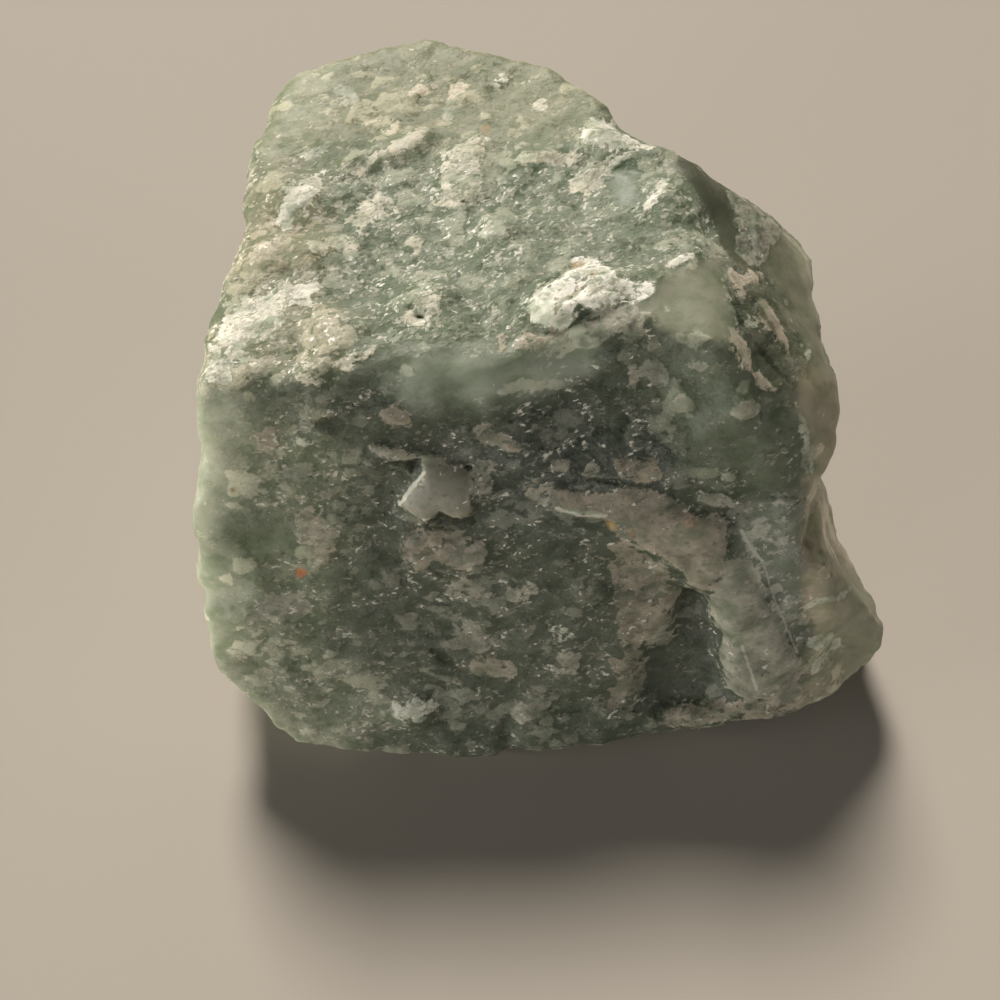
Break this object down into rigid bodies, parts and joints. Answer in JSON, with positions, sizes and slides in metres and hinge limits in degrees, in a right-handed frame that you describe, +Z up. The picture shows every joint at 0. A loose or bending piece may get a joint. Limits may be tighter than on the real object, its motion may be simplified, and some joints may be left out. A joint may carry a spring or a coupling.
{
  "type": "raw aventurine",
  "caption": "Rough hand-sized chunk of raw green aventurine, a broken quartzite block with pale crusts and flakes, resting on its flattest break.",
  "frame": {"origin": "centre of the bounding box in plan, on the plane of the flat resting break", "axes": "+Z up; +X to the right, towards the jutting foot; -Y towards the broad shaded front break; +Y to the back"},
  "size_m": [0.0702, 0.058, 0.0495],
  "materials": {
    "aventurine": "satin"
  },
  "bodies": {
    "root": {"aventurine": "aventurine"}
  },
  "joints": []
}
